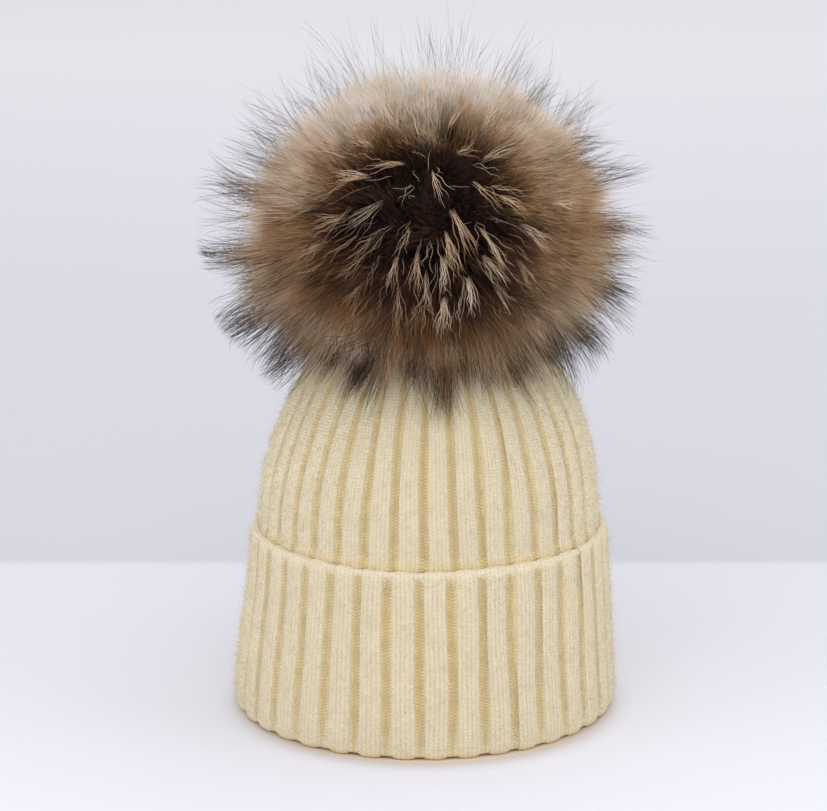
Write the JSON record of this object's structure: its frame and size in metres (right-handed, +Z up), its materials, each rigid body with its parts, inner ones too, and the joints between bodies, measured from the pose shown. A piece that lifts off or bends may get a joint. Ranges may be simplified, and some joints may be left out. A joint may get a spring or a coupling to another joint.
{
  "type": "pom pom beanie",
  "caption": "Rib-knit winter hat with a deep turned-up cuff and a large fur pompom held on its crown by a press stud.",
  "frame": {"origin": "centre of the folded lower edge of the cuff, on the plane that the hat stands on", "axes": "+Z up the hat's axis to the pompom; -Y is the front; +Y is the back, where the seam is"},
  "size_m": [0.1506, 0.1506, 0.257],
  "materials": {
    "rib_knit": "matte",
    "seam_yarn": "matte",
    "felt": "matte",
    "nickel": "gloss",
    "spring_wire": "satin",
    "disc_plastic": "satin",
    "thread": "matte",
    "hide": "matte",
    "polyester_fibre": "matte",
    "underfur": "matte",
    "guard_fur": "matte"
  },
  "bodies": {
    "cuff": {"turn_up_cuff": "rib_knit"},
    "crown": {"crown_knit": "rib_knit", "back_seam": "seam_yarn", "gather_thread": "seam_yarn", "backing_patch": "felt", "stud_post_cap": "nickel", "snap_stud": "nickel"},
    "stud_spring": {"snap_spring": "spring_wire"},
    "pompom_base": {"snap_socket": "nickel", "socket_post_cap": "nickel", "pompom_base_disc": "disc_plastic"},
    "pompom": {"pelt_drawstring": "thread", "pelt_hide": "hide", "fibre_stuffing": "polyester_fibre", "underfur": "underfur", "guard_fur": "guard_fur"}
  },
  "joints": [
    {"name": "cuff_turn_down", "type": "slide", "parent": "cuff", "child": "crown", "axis": [0, 0, 1], "range_m": [0, 0.055]},
    {"name": "pompom_pull_off", "type": "slide", "parent": "crown", "child": "stud_spring", "axis": [0, 0, 1], "range_m": [0, 0.045]},
    {"name": "pompom_spin", "type": "hinge", "parent": "stud_spring", "child": "pompom_base", "pos_m": [0, 0, 0.15], "axis": [0, 0, 1], "continuous": true},
    {"name": "pompom_tilt", "type": "hinge", "parent": "pompom_base", "child": "pompom", "pos_m": [0, 0, 0.1577], "axis": [1, 0, 0], "range_deg": [-7, 7], "stiffness_Nm_per_rad": 0.2}
  ]
}
